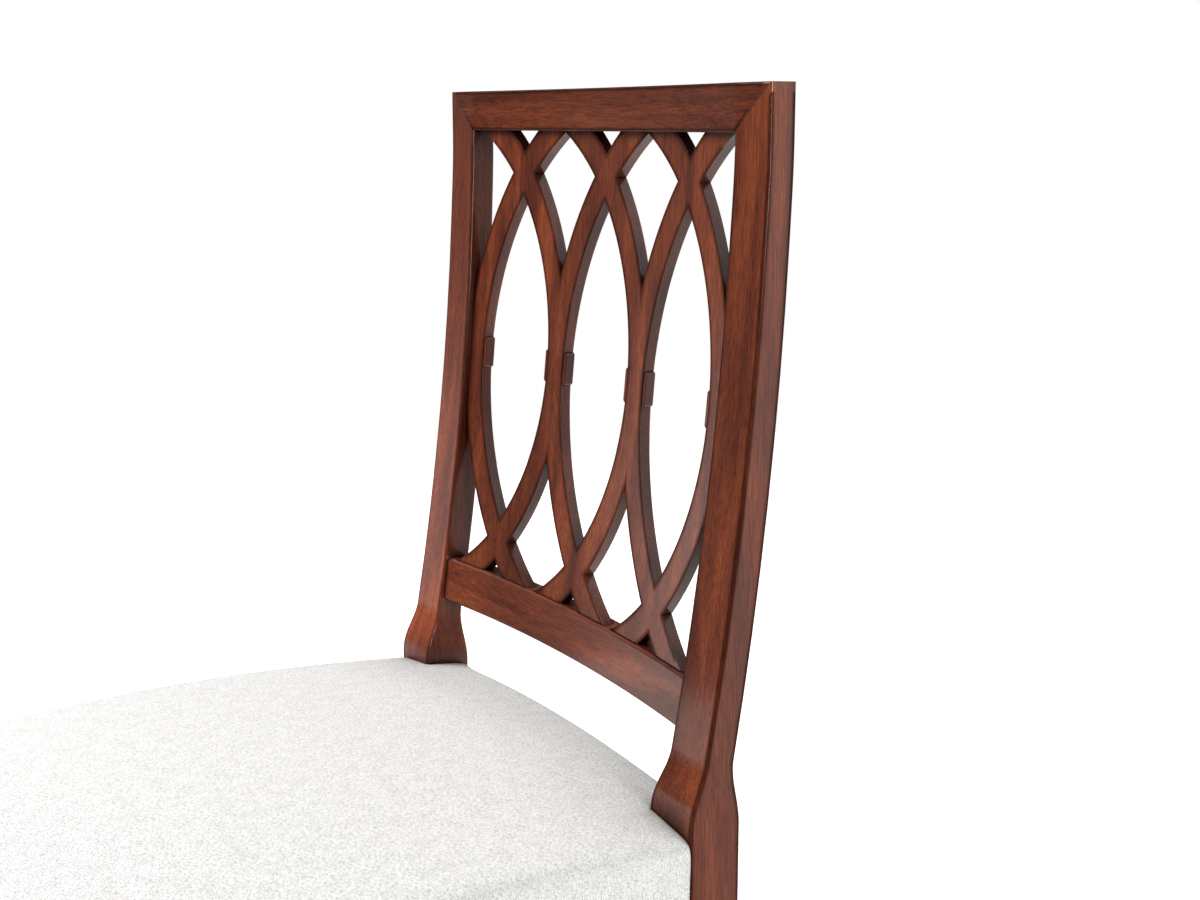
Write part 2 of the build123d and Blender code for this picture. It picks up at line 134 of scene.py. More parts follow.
def spread(tree, value, start, end, low, high):
    """Maps values from start to end onto low to high, and holds them beyond."""
    node = add(tree, "MapRange", {"From Min": start, "From Max": end, "To Min": low, "To Max": high})
    join(tree, value, node.inputs["Value"])
    return node.outputs["Result"]


def layered(tree, layers):
    """Colour ramps multiplied together; each layer is a socket and the stops of its ramp."""
    colour = None
    for value, stops in layers:
        tone = ramp(tree, stops)
        join(tree, value, tone.inputs["Fac"])
        if colour is None:
            colour = tone.outputs["Color"]
            continue
        blend = add(tree, "Mix", data_type="RGBA", blend_type="MULTIPLY")
        blend.inputs["Factor"].default_value = 1
        join(tree, colour, blend.inputs["A"])
        join(tree, tone.outputs["Color"], blend.inputs["B"])
        colour = blend.outputs["Result"]
    return colour


print("helpers ready")

# %% [markdown]
# Mahogany under a reddish stain and satin lacquer. A dark glaze was wiped over it and stayed along the edges, so the
# shader has to know how far a point is from an edge. On a board, ambient occlusion cast into the wood tells it. The
# lattice bars are halved flush into each other and look like one piece, so there the distance is worked out from the
# circles that the bars follow: a point is at an edge only if it is at the edge of all of them. The mitres of the crest
# are left plain. The lower rail, whose top is full of sockets, and the small blocks get a narrow band of glaze.


# %% Edges of the boards
broad_glaze = 4.5 * mm
narrow_glaze = 1.2 * mm


def board_edges(tree, spot, glazed=broad_glaze):
    """From 0 at an edge to 1 inside, and where edges are eased; the mitre of the crest counts as inside."""
    mitre_width, sharpen = 7 * mm, 3.0
    depth = add(tree, "AmbientOcclusion", {"Distance": glazed}, samples=8, inside=True, only_local=True)
    crest_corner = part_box("crest_rail")[1]
    diagonal = number(tree, "SUBTRACT", number(tree, "ABSOLUTE", spot.outputs["X"]), spot.outputs["Z"])
    mitre = number(tree, "COMPARE", diagonal, crest_corner[0] - crest_corner[2], mitre_width)
    inside = number(tree, "MULTIPLY_ADD", depth.outputs["AO"], sharpen, 1 - sharpen)
    return number(tree, "MAXIMUM", inside, mitre), number(tree, "SUBTRACT", 1.0, mitre)


def small_edges(tree, spot):
    """The same with a narrow band of glaze."""
    return board_edges(tree, spot, narrow_glaze)


def lattice_edges(tree, spot):
    """The same for the lattice, from the circles of its six bars."""
    radius, width, eased_band = 236 * mm, 24.8 * mm, 2.5 * mm
    necks = [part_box(name) for name in ("neck_blocks_2", "neck_blocks_3")]
    pitch = abs(necks[0][0][0] + necks[0][1][0] - necks[1][0][0] - necks[1][1][0]) / 2
    height = (necks[0][0][2] + necks[0][1][2]) / 2
    flat = add(tree, "CombineXYZ")
    join(tree, spot.outputs["X"], flat.inputs["X"])
    join(tree, spot.outputs["Z"], flat.inputs["Z"])
    off_middle = 1.0
    for oval in (-pitch, 0.0, pitch):
        for side in (-1, 1):
            centre = (oval + side * (pitch / 2 - radius), 0, height)
            away = add(tree, "VectorMath", {1: centre}, operation="DISTANCE")
            join(tree, flat.outputs["Vector"], away.inputs[0])
            off = number(tree, "ABSOLUTE", number(tree, "SUBTRACT", away.outputs["Value"], radius))
            off_middle = number(tree, "MINIMUM", off_middle, off)
    depth = number(tree, "SUBTRACT", width / 2, off_middle)
    return number(tree, "DIVIDE", depth, broad_glaze), number(tree, "LESS_THAN", depth, eased_band)


print("edges ready")

# %% [markdown]
# The wood itself shows soft patches of orange and brown drawn out along the board, a quiet figure, fine fibres and
# short dark pores. They are noises squeezed across the grain and stretched along it. Ambient occlusion darkens the
# corners and the wood next to the seat: in tight corners that stands for glaze, elsewhere it is painted shade, and it
# thins the lacquer there too. Faces that don't look to the front or back get painted shade, and the left rear post is
# painted lighter, which is painted light. The lacquer is the shader's coat. Boards are sawn with the grain along their
# length, so the pattern is turned for rails, and no two boards have the same tone.


# %% Mahogany
def mahogany(name, stretch, shift, edges, board_tone, top_tone=1.0, side_shade=1.0):
    """Stained wood; stretch squeezes the grain's axis, the tones change a whole board and its top end, side_shade is
    painted shade on faces that don't look to the front or back, and occlusion paints shade in corners.
    """
    material, tree, wood = new_material(name)
    place = add(tree, "TexCoord")
    spot = add(tree, "SeparateXYZ")
    join(tree, place.outputs["Object"], spot.inputs["Vector"])

    def pattern(squeeze, scale, detail, bend):
        """Noise drawn out along the grain."""
        board = add(tree, "Mapping", {"Location": shift, "Scale": tuple(s**squeeze for s in stretch)})
        join(tree, place.outputs["Object"], board.inputs["Vector"])
        noise = add(tree, "TexNoise", {"Scale": scale, "Detail": detail, "Distortion": bend})
        join(tree, board.outputs["Vector"], noise.inputs["Vector"])
        return noise.outputs["Fac"]

    figure = pattern(squeeze=1, scale=48, detail=2, bend=0.6)
    fibre = pattern(squeeze=1, scale=800, detail=2, bend=0.2)
    pores = pattern(squeeze=1, scale=1500, detail=2, bend=0)
    patches = pattern(squeeze=0.45, scale=20, detail=4, bend=0.4)
    corner_glaze_and_shade = add(tree, "AmbientOcclusion", {"Distance": 50 * mm}, samples=8)
    normal = add(tree, "NewGeometry")
    facing = add(tree, "SeparateXYZ")
    join(tree, normal.outputs["Normal"], facing.inputs["Vector"])
    front = number(tree, "ABSOLUTE", facing.outputs["Y"])
    edge, eased = edges(tree, spot)
    # Painted shade: faces that don't look to the front or back are darkened by the side tone, and the glazed edges are
    # left off them.
    if side_shade < 1:
        edge = number(tree, "MAXIMUM", edge, number(tree, "SUBTRACT", 1.3, front))

    stains = [(0.32, (0.116, 0.0237, 0.0094)), (0.5, (0.182, 0.0385, 0.0149)), (0.68, (0.258, 0.0616, 0.0220))]
    layers = [
        (figure, [(at, tuple(board_tone * part for part in colour)) for at, colour in stains]),
        (fibre, [(0.34, 0.72), (0.66, 1.26)]),
        (patches, [(0.34, (0.74, 0.70, 0.70)), (0.5, (0.97, 0.95, 0.94)), (0.66, (1.28, 1.24, 1.14))]),
        (pores, [(0.36, 0.6), (0.44, 1.0)]),
        # Painted shade: darker in corners and next to the seat, where occlusion finds other parts close by; in tight
        # corners it also stands for glaze.
        (corner_glaze_and_shade.outputs["AO"], [(0.45, (0.25, 0.21, 0.20)), (0.8, (0.78, 0.76, 0.75)), (0.98, (1.0, 1.0, 1.0))]),
        (edge, [(0.1, (0.12, 0.10, 0.10)), (0.5, (0.64, 0.60, 0.59)), (1.0, (1.0, 1.0, 1.0))]),
        # Painted shade on faces that don't look to the front or back.
        (front, [(0.3, side_shade), (0.8, 1.0)]),
        (spot.outputs["Z"], [(0.78, 1.0), (0.97, top_tone)]),
    ]
    join(tree, layered(tree, layers), wood.inputs["Base Color"])

    shine = ramp(tree, [(0.3, 0.46), (0.7, 0.34)])
    join(tree, fibre, shine.inputs["Fac"])
    join(tree, shine.outputs["Color"], wood.inputs["Roughness"])
    soft = add(tree, "Bevel", samples=6)
    join(tree, number(tree, "MULTIPLY", eased, 0.8 * mm), soft.inputs["Radius"])
    relief = add(tree, "Bump", {"Strength": 0.25, "Distance": 0.06 * mm})
    join(tree, pores, relief.inputs["Height"])
    join(tree, soft.outputs["Normal"], relief.inputs["Normal"])
    join(tree, relief.outputs["Normal"], wood.inputs["Normal"])
    join(tree, soft.outputs["Normal"], wood.inputs["Coat Normal"])
    # The coat thins along the glazed edges and, with the painted corner shade, in corners, which paints shade into its
    # reflection there.
    lacquer = ramp(tree, [(0.3, 0.1), (0.95, 0.9)])
    join(tree, number(tree, "MULTIPLY", edge, corner_glaze_and_shade.outputs["AO"]), lacquer.inputs["Fac"])
    join(tree, lacquer.outputs["Color"], wood.inputs["Coat Weight"])
    wood.inputs["Coat Roughness"].default_value = 0.15
    wood.inputs["Coat IOR"].default_value = 1.6
    wood.inputs["Specular IOR Level"].default_value = 0.04
    return material


upright, crosswise = (1, 1, 0.05), (0.05, 1, 1)
upright_wood = mahogany("mahogany_upright", upright, (0.31, 0.12, 0), board_edges, board_tone=0.78, top_tone=0.82)
# Painted light: the left rear post is painted lighter as if more lit, with stronger painted shade on its sides.
lit_left_post_wood = mahogany("mahogany_lit_left_post", upright, (0.52, 0.7, 0.1), board_edges,
                     board_tone=1.38, top_tone=0.5, side_shade=0.68)
crest_wood = mahogany("mahogany_dark_board", crosswise, (0, 0.4, 0.23), board_edges, board_tone=0.64)
rail_wood = mahogany("mahogany_crosswise", crosswise, (0.2, 0.1, 0.6), small_edges, board_tone=0.88)
lattice_wood = mahogany("mahogany_lattice", upright, (0.17, 0.3, 0.4), lattice_edges, board_tone=0.82, side_shade=0.7)
block_wood = mahogany("mahogany_neck_blocks", upright, (0.1, 0.2, 0.2), small_edges, board_tone=0.8, side_shade=0.7)
print("made", ", ".join(m.name for m in (upright_wood, lit_left_post_wood, crest_wood, rail_wood, lattice_wood, block_wood)))

# %% [markdown]
# The parts that nobody sees from above: planed hardwood rails and blocks, a plywood deck, zinc screws and moulded
# glides. They still show from below, so each gets a grain or a flow of its own instead of one flat colour.


# %% Bare woods, metal and plastic
def bare_wood(name, stretch, light, dark, rough):
    """Unfinished wood with a plain grain."""
    material, tree, wood = new_material(name)
    place = add(tree, "TexCoord")
    board = add(tree, "Mapping", {"Scale": stretch})
    join(tree, place.outputs["Object"], board.inputs["Vector"])
    grain = add(tree, "TexNoise", {"Scale": 90, "Detail": 6, "Roughness": 0.65, "Distortion": 0.7})
    join(tree, board.outputs["Vector"], grain.inputs["Vector"])
    tone = ramp(tree, [(0.3, dark), (0.7, light)])
    join(tree, grain.outputs["Fac"], tone.inputs["Fac"])
    join(tree, tone.outputs["Color"], wood.inputs["Base Color"])
    relief = add(tree, "Bump", {"Strength": 0.3, "Distance": 0.15 * mm})
    join(tree, grain.outputs["Fac"], relief.inputs["Height"])
    join(tree, relief.outputs["Normal"], wood.inputs["Normal"])
    wood.inputs["Roughness"].default_value = rough
    return material


def fine_grain(name, light, dark, rough, metal, scale):
    """Small even mottling for zinc or moulded plastic."""
    material, tree, surface = new_material(name)
    place = add(tree, "TexCoord")
    mottle = add(tree, "TexNoise", {"Scale": scale, "Detail": 4, "Roughness": 0.6})
    join(tree, place.outputs["Object"], mottle.inputs["Vector"])
    tone = ramp(tree, [(0.35, dark), (0.65, light)])
    join(tree, mottle.outputs["Fac"], tone.inputs["Fac"])
    join(tree, tone.outputs["Color"], surface.inputs["Base Color"])
    gloss = ramp(tree, [(0.3, rough - 0.08), (0.7, rough + 0.08)])
    join(tree, mottle.outputs["Fac"], gloss.inputs["Fac"])
    join(tree, gloss.outputs["Color"], surface.inputs["Roughness"])
    relief = add(tree, "Bump", {"Strength": 0.2, "Distance": 0.05 * mm})
    join(tree, mottle.outputs["Fac"], relief.inputs["Height"])
    join(tree, relief.outputs["Normal"], surface.inputs["Normal"])
    surface.inputs["Metallic"].default_value = metal
    return material


hardwood = {"light": (0.60, 0.42, 0.25), "dark": (0.42, 0.26, 0.14), "rough": 0.7}
rail_wood_across = bare_wood("bare_wood_across", (0.08, 1, 1), **hardwood)
rail_wood_along = bare_wood("bare_wood_along", (1, 0.08, 1), **hardwood)
deck_ply = bare_wood("deck_plywood", (0.1, 1, 3), light=(0.68, 0.52, 0.33), dark=(0.50, 0.35, 0.20), rough=0.75)
zinc = fine_grain("zinc_plate", (0.66, 0.65, 0.62), (0.48, 0.47, 0.45), rough=0.36, metal=1.0, scale=900)
glide_plastic = fine_grain("glide_plastic", (0.070, 0.052, 0.044), (0.050, 0.036, 0.030),
                           rough=0.5, metal=0.0, scale=1200)
print("made", ", ".join(m.name for m in (rail_wood_across, rail_wood_along, deck_ply, zinc, glide_plastic)))


# %% Dress the CAD nodes
def finish_of(name):
    """Material for a CAD node."""
    if name == "crest_rail":
        return crest_wood
    if name == "lower_back_rail":
        return rail_wood
    if name == "back_post_left":
        return lit_left_post_wood
    if name.startswith(("back_post", "front_leg")):
        return upright_wood
    if name.startswith("neck_blocks"):
        return block_wood
    if name.startswith("lattice_arc"):
        return lattice_wood
    if name.startswith("side_seat_rail"):
        return rail_wood_along
    if name == "seat_deck":
        return deck_ply
    if name.endswith("screws"):
        return zinc
    if name == "leg_glides":
        return glide_plastic
    return rail_wood_across


for name, node in nodes.items():
    for slot in node.material_slots:
        slot.material = finish_of(name)
print("dressed", len(nodes), "nodes")

# %% [markdown]
# The seat cloth is an off-white linen in plain weave. Threads go over and under each other about every 1.3 mm, some
# threads are thicker and greyer than their neighbours, and the whole is faintly mottled. The weave follows a UV map
# in metres, so the threads run front to back and side to side, and turn down the sides without a break in scale.
# Next to the rear legs the cloth is darkened by painted shade.


# %% Linen
def linen(name):
    """Plain weave with slubs, and painted shade where the frame comes close."""
    material, tree, cloth = new_material(name)
    pitch = 1.3 * mm
    uv = add(tree, "UVMap", uv_map="weave")
    axes = add(tree, "SeparateXYZ")
    join(tree, uv.outputs["UV"], axes.inputs["Vector"])

    def wave(axis):
        """Sine that changes its sign from thread to thread."""
        return number(tree, "SINE", number(tree, "MULTIPLY", axes.outputs[axis], math.pi / pitch))

    def slubs(scale, seed):
        """Uneven threads along one direction."""
        at = add(tree, "Mapping", {"Scale": scale, "Location": (seed, seed, 0)})
        join(tree, uv.outputs["UV"], at.inputs["Vector"])
        noise = add(tree, "TexNoise", {"Scale": 1, "Detail": 3, "Roughness": 0.6})
        join(tree, at.outputs["Vector"], noise.inputs["Vector"])
        return noise.outputs["Fac"]

    height = number(tree, "ABSOLUTE", number(tree, "MULTIPLY", wave("X"), wave("Y")))
    warp = slubs((900, 320, 1), seed=3.1)
    weft = slubs((320, 900, 1), seed=7.7)
    threads = number(tree, "MULTIPLY", number(tree, "ADD", warp, weft), 0.5)
    mottle = slubs((90, 70, 1), seed=1.7)
    # Painted shade: occlusion darkens the cloth next to the rear legs and their blocks.
    seat_occlusion_shade = add(tree, "AmbientOcclusion", {"Distance": 120 * mm}, samples=8)
    layers = [
        (threads, [(0.40, (0.62, 0.61, 0.595)), (0.55, (0.98, 0.975, 0.96))]),
        (height, [(0.0, 0.78), (0.35, 1.0)]),
        (mottle, [(0.35, 0.91), (0.6, 1.0)]),
        (seat_occlusion_shade.outputs["AO"], [(0.5, (0.45, 0.43, 0.41)), (0.95, (1.0, 1.0, 1.0))]),
    ]
    join(tree, layered(tree, layers), cloth.inputs["Base Color"])

    relief = add(tree, "Bump", {"Strength": 0.5, "Distance": 0.25 * mm})
    join(tree, number(tree, "ADD", height, threads), relief.inputs["Height"])
    join(tree, relief.outputs["Normal"], cloth.inputs["Normal"])
    cloth.inputs["Roughness"].default_value = 0.9
    cloth.inputs["Specular IOR Level"].default_value = 0.2
    cloth.inputs["Sheen Weight"].default_value = 0.12
    cloth.inputs["Sheen Roughness"].default_value = 0.5
    return material


seat_linen = linen("seat_linen")
print("made", seat_linen.name)

# %% [markdown]
# The seat pad. On the real chair foam is crowned over the deck board and linen is pulled over it and down the rails,
# tight at the corners and tucked in round the rear legs. A block of that plan is remeshed into even small squares,
# shaped to a crown, and then swollen by a cloth simulation with air pressure inside, its skirt held still. The swelling
# rounds the edges as stuffing does, which a bevel can't. How far a point may move is capped, so the pad keeps its size.


# %% Plan of the seat
def seat_plan(outset, room):
    """Outline from above, notched round the rear legs; room is kept clear of their blocks."""
    right = [
        (block_x - room, rear_y + outset),
        (block_x - room, block_y - room),
        (side_x(block_y) + outset, block_y - room),
        (side_x(front_y) + outset, front_y - outset),
    ]
    return right + [(-x, y) for x, y in reversed(right)]


def whole_plan(outset):
    """Outline from above without the notches."""
    right = [(side_x(rear_y) + outset, rear_y + outset), (side_x(front_y) + outset, front_y - outset)]
    return right + [(-x, y) for x, y in reversed(right)]


def draw(z):
    """How far the sides stand out at a height, as they are drawn in toward the bottom."""
    return side_draw * (z - rail_bottom) / (crown_top - rail_bottom)


def tapered(name, low, bottom, high, top):
    """Closed block between two outlines with the same number of corners."""
    shape = bmesh.new()
    lower = [shape.verts.new((x, y, bottom)) for x, y in low]
    upper = [shape.verts.new((x, y, top)) for x, y in high]
    shape.faces.new(lower)
    shape.faces.new(upper)
    for k in range(len(low)):
        n = (k + 1) % len(low)
        shape.faces.new((lower[k], lower[n], upper[n], upper[k]))
    bmesh.ops.recalc_face_normals(shape, faces=shape.faces)
    mesh = bpy.data.meshes.new(name)
    shape.to_mesh(mesh)
    shape.free()
    piece = bpy.data.objects.new(name, mesh)
    scene.collection.objects.link(piece)
    return piece


def round_off(piece, width, weight):
    """Rounds the edges of a block by a share that a function of each edge's two ends gives."""
    share = piece.data.attributes.new("bevel_weight_edge", "FLOAT", "EDGE")
    for edge in piece.data.edges:
        a, b = [piece.data.vertices[v].co for v in edge.vertices]
        share.data[edge.index].value = weight(a, b)
    rounded = piece.modifiers.new("rounded", "BEVEL")
    rounded.limit_method = "WEIGHT"
    rounded.width = width
    rounded.segments = 5


def applied(piece):
    """Replaces the object's mesh by what its modifiers make of it, and removes them."""
    solid = bpy.data.meshes.new_from_object(piece.evaluated_get(bpy.context.evaluated_depsgraph_get()))
    piece.modifiers.clear()
    piece.data = solid
    return piece


def points_of(mesh):
    """Vertex positions as an array."""
    flat = np.empty(3 * len(mesh.vertices))
    mesh.vertices.foreach_get("co", flat)
    return flat.reshape(-1, 3)


def set_points(mesh, points):
    """Writes vertex positions back."""
    mesh.vertices.foreach_set("co", np.ascontiguousarray(points, dtype=np.float64).ravel())
    mesh.update()


cloth_thickness = 1.9 * mm
touch = 0.3 * mm
block_top = 460 * mm
edge_round = 15 * mm
corner_share = 0.8
hem_bottom = rail_bottom - 2 * mm


def rim_weight(a, b):
    """How much of the rounding an edge of the block gets: full along the outside, little where it tucks in at a leg."""
    if max(a.z, b.z) < rail_top:
        return 0.0
    if min(a.z, b.z) < rail_top:
        return corner_share if a.y < middle_y else 0.0
    if min(a.y, b.y) < middle_y:
        return 1.0
    return 0.1 if a.x * b.x > 0 else 0.75


seat = tapered("seat_upholstery", seat_plan(cloth_thickness, touch), hem_bottom,
               seat_plan(cloth_thickness + draw(block_top), touch), block_top)
round_off(seat, edge_round, rim_weight)
remesh = seat.modifiers.new("even", "REMESH")
remesh.mode = "VOXEL"
remesh.voxel_size = 5.5 * mm
applied(seat)
print("remeshed block", len(seat.data.vertices), "points")


# %% Crown the block
crown_radius = 1.84
start_drop = 1.5 * mm


def crown_height(x, y):
    """Top of the crowned pad before it swells."""
    return crown_top - start_drop - (x**2 + (y - middle_y) ** 2) / (2 * crown_radius)


points = points_of(seat.data)
share = np.clip((points[:, 2] - hem_bottom) / (block_top - hem_bottom), 0, 1)
points[:, 2] = hem_bottom + share * (crown_height(points[:, 0], points[:, 1]) - hem_bottom)
set_points(seat.data, points)
print("crowned to", round(points[:, 2].max(), 4))

# %% Swell it as cloth
crowned = points_of(seat.data).copy()
held = seat.vertex_groups.new(name="held")
lip = 18 * mm
loose = seat.vertex_groups.new(name="loose")
for index, (x, y, z) in enumerate(crowned):
    below = (crown_height(x, y) - lip - z) / lip
    near_leg = 1 - max(block_x - abs(x), block_y - y) / (2 * lip)
    hold = min(max(below, near_leg, 0.0), 1.0)
    held.add([index], hold, "REPLACE")
    loose.add([index], 1 - hold, "REPLACE")
most_move = 5 * mm
above_crown = 1 * mm
steps = 20
tiny = 1e-9
cloth = seat.modifiers.new("stuffing", "CLOTH")
cloth.settings.quality = 6
cloth.settings.mass = 0.25
cloth.settings.tension_stiffness = 12
cloth.settings.compression_stiffness = 12
cloth.settings.shear_stiffness = 4
cloth.settings.bending_stiffness = 3
cloth.settings.use_pressure = True
cloth.settings.uniform_pressure_force = 0.6
cloth.settings.vertex_group_mass = "held"
cloth.settings.effector_weights.gravity = 0
for step in range(1, steps + 1):
    scene.frame_set(step)
    bpy.context.view_layer.update()
applied(seat)
scene.frame_set(1)
swollen = points_of(seat.data)
moved = swollen - crowned
length = np.linalg.norm(moved, axis=1, keepdims=True)
moved *= np.minimum(1, most_move / np.maximum(length, tiny))
rise = (crowned + moved)[:, 2].max() - crowned[:, 2].max()
swollen = crowned + moved * min(1.0, (start_drop + above_crown) / max(rise, tiny))
print("swelled by up to", round(float(length.max()) / mm, 1), "mm, top at", round(swollen[:, 2].max(), 4))


# %% Keep it off the legs and inside the frame's size
def clear_of_blocks(points):
    """Pushes points that reached a rear leg's block back to the nearer wall of its notch."""
    x, y = np.abs(points[:, 0]), points[:, 1]
    in_x = x - (block_x - touch)
    in_y = y - (block_y - touch)
    inside = (in_x > 0) & (in_y > 0)
    by_x = inside & (in_x < in_y)
    by_y = inside & ~by_x
    points[by_x, 0] = np.sign(points[by_x, 0]) * (block_x - touch)
    points[by_y, 1] = block_y - touch
    return points


def tuck_in(points):
    """Presses the rim beside each rear leg up and against its block, so that no gap opens at the rounded edge."""
    reach, press, lift, fade = 24 * mm, 4.5 * mm, 5 * mm, 8 * mm
    x, y = np.abs(points[:, 0]), points[:, 1]
    to_x = np.clip(1 - (block_x - x) / reach, 0, 1)
    to_y = np.clip(1 - (block_y - y) / reach, 0, 1)
    outboard = np.clip((x - block_x) / fade, 0, 1)
    rearward = np.clip((y - block_y) / fade, 0, 1)
    inboard = np.clip(1.5 - (x - block_x) / reach, 0, 1)
    points[:, 1] += press * to_y * outboard
    points[:, 0] += np.sign(points[:, 0]) * press * to_x * rearward
    depth = crown_height(points[:, 0], points[:, 1]) - points[:, 2]
    raised = np.maximum(0.2 * depth, (depth - lift) * reach / (reach - lift))
    rise = np.where((depth > 0) & (depth < reach), depth - raised, 0)
    points[:, 2] += to_x * to_y * inboard * rise
    return points


swollen = clear_of_blocks(swollen)
set_points(seat.data, swollen)
calm = seat.modifiers.new("calm", "SMOOTH")
calm.factor = 0.5
calm.iterations = 6
calm.vertex_group = "loose"
smooth = seat.modifiers.new("smooth", "SUBSURF")
smooth.levels = 1
smooth.render_levels = 1
applied(seat)
set_points(seat.data, clear_of_blocks(tuck_in(points_of(seat.data))))
print("seat surface", len(seat.data.polygons), "faces")


# %% Hollow it for the frame
def front_corner(a, b):
    """Only the upright front corners of a cutter are rounded."""
    upright_rise = 20 * mm
    return 1.0 if abs(a.z - b.z) > upright_rise and a.y < middle_y else 0.0


def cut(piece, cutter):
    """Takes one solid out of another and deletes the cutter."""
    round_off(cutter, corner_share * edge_round - cloth_thickness, front_corner)
    applied(cutter)
    minus = piece.modifiers.new("hollow", "BOOLEAN")
    minus.object = cutter
    minus.solver = "EXACT"
    applied(piece)
    bpy.data.objects.remove(cutter)


gap = 0.4 * mm
wall = 1.5 * mm
below = rail_bottom - 30 * mm
board = deck_top + gap
cut(seat, tapered("deck_room", seat_plan(gap + draw(below), touch + wall), below,
                  seat_plan(gap + draw(board), touch + wall), board))
over_rails = rail_top + gap
cut(seat, tapered("rail_room", whole_plan(gap + draw(below)), below, whole_plan(gap + draw(over_rails)), over_rails))
print("hollowed seat", len(seat.data.polygons), "faces")


# %% Lay the weave over it
def lay_weave(mesh):
    """UV map in metres: threads run with the seat on top and hang straight on each side."""
    uv = mesh.uv_layers.new(name="weave")
    corners = np.empty(len(mesh.loops), dtype=np.int32)
    mesh.loops.foreach_get("vertex_index", corners)
    at = points_of(mesh)[corners]
    normals = np.empty(3 * len(mesh.polygons))
    mesh.polygons.foreach_get("normal", normals)
    totals = np.empty(len(mesh.polygons), dtype=np.int32)
    mesh.polygons.foreach_get("loop_total", totals)
    face = np.repeat(normals.reshape(-1, 3), totals, axis=0)
    size = np.abs(face)
    drop = at[:, 2] - crown_top
    coords = at[:, :2].copy()
    side = (size[:, 0] > size[:, 2]) & (size[:, 0] >= size[:, 1])
    ends = (size[:, 1] > size[:, 2]) & ~side
    coords[side, 0] = (at[:, 0] - np.sign(face[:, 0]) * drop)[side]
    coords[ends, 1] = (at[:, 1] - np.sign(face[:, 1]) * drop)[ends]
    uv.data.foreach_set("uv", coords.ravel())


lay_weave(seat.data)
seat.data.materials.clear()
seat.data.materials.append(seat_linen)
seat.data.shade_smooth()
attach(seat, "root")
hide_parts("seat_cover", "seat_foam")
print("seat upholstery done")

# %% [markdown]
# A black dust cloth closes the seat from below. It is a thin sheet cut round the four legs, stretched and stapled to
# the undersides of the rails, and it sags a little in the middle. A grid with lines along its cuts gives clean edges.


# %% Dust cloth material
def dust_cloth_material():
    """Black non-woven cloth with pressed-in dimples."""
    material, tree, cloth = new_material("dust_cloth")
    place = add(tree, "TexCoord")
    dimples = add(tree, "TexVoronoi", {"Scale": 420, "Randomness": 0.25})
    join(tree, place.outputs["Object"], dimples.inputs["Vector"])
    hairs = add(tree, "TexNoise", {"Scale": 900, "Detail": 4})
    join(tree, place.outputs["Object"], hairs.inputs["Vector"])
    tone = ramp(tree, [(0.3, (0.016, 0.016, 0.017)), (0.7, (0.040, 0.040, 0.042))])
    join(tree, hairs.outputs["Fac"], tone.inputs["Fac"])
    join(tree, tone.outputs["Color"], cloth.inputs["Base Color"])
    relief = add(tree, "Bump", {"Strength": 0.5, "Distance": 0.2 * mm})
    join(tree, dimples.outputs["Distance"], relief.inputs["Height"])
    join(tree, relief.outputs["Normal"], cloth.inputs["Normal"])
    cloth.inputs["Roughness"].default_value = 0.95
    return material


black_cloth = dust_cloth_material()
print("made", black_cloth.name)

# %% Stretch the dust cloth
inset = 8 * mm
leg_size = 44 * mm
leg_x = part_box("front_leg_right")[1][0] - leg_size
leg_back_y = front_y + leg_size
sheet_top = rail_bottom - 0.1 * mm
sheet_thickness = 0.7 * mm
sag = 4 * mm
flat_on_rail = 22 * mm
grid_step = 12 * mm


def grid_lines(stops, step):
    """Positions from the first stop to the last, with every stop among them."""
    lines = []
    for a, b in zip(stops, stops[1:]):
        count = max(1, round((b - a) / step))
        lines += [a + (b - a) * k / count for k in range(count)]
    return lines + [stops[-1]]


rear_cut_x = block_x - inset
front_cut_x = leg_x - inset
rows = grid_lines([front_y + inset, leg_back_y + inset, block_y - inset, rear_y - inset], grid_step)
inner = grid_lines([-front_cut_x, -rear_cut_x, rear_cut_x, front_cut_x], grid_step)
shape = bmesh.new()
grid = []
for y in rows:
    edge = side_x(y) - inset
    columns = [-edge, -(edge + front_cut_x) / 2] + inner + [(edge + front_cut_x) / 2, edge]
    line = []
    for x in columns:
        across = max(0.0, 1 - (x / rear_cut_x) ** 2)
        deep = max(0.0, 1 - ((y - middle_y) / (rear_y - inset - middle_y - flat_on_rail)) ** 2)
        ripple = 0.25 * math.sin(x * 90 + 3 * math.sin(y * 37)) * math.sin(y * 61)
        line.append(shape.verts.new((x, y, sheet_top - sag * across * deep * (1 + ripple))))
    grid.append(line)
flat_area = 0.0
for r in range(len(rows) - 1):
    for c in range(len(grid[0]) - 1):
        quad = (grid[r][c], grid[r][c + 1], grid[r + 1][c + 1], grid[r + 1][c])
        x = abs(quad[0].co.x + quad[2].co.x) / 2
        y = (rows[r] + rows[r + 1]) / 2
        if (x > front_cut_x and y < leg_back_y + inset) or (x > rear_cut_x and y > block_y - inset):
            continue
        flat_area += shape.faces.new(quad).calc_area()
bmesh.ops.delete(shape, geom=[v for v in shape.verts if not v.link_faces], context="VERTS")
bmesh.ops.recalc_face_normals(shape, faces=shape.faces)
mesh = bpy.data.meshes.new("dust_cloth_sheet")
shape.to_mesh(mesh)
shape.free()
dust = bpy.data.objects.new("dust_cloth_sheet", mesh)
scene.collection.objects.link(dust)
mesh.materials.append(black_cloth)
if sum(p.normal.z for p in mesh.polygons) > 0:
    mesh.flip_normals()
thick = dust.modifiers.new("thick", "SOLIDIFY")
thick.thickness = sheet_thickness
thick.offset = 1
applied(dust)
dust.data.shade_smooth()
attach(dust, "root")
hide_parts("dust_cover")
print("dust cloth of", round(flat_area, 4), "square metres")

# %% [markdown]
# Staples hold the dust cloth. They are all alike and follow its edge, so Geometry Nodes place them: a line round the
# edge is cut into even steps, a staple is set on each step and turned along the line, and the copies are made real,
# because the export keeps only real faces.


# %% Staple tree
staple_sizes = {"Spacing": 45 * mm, "Crown": 10 * mm, "Wire": 0.9 * mm}


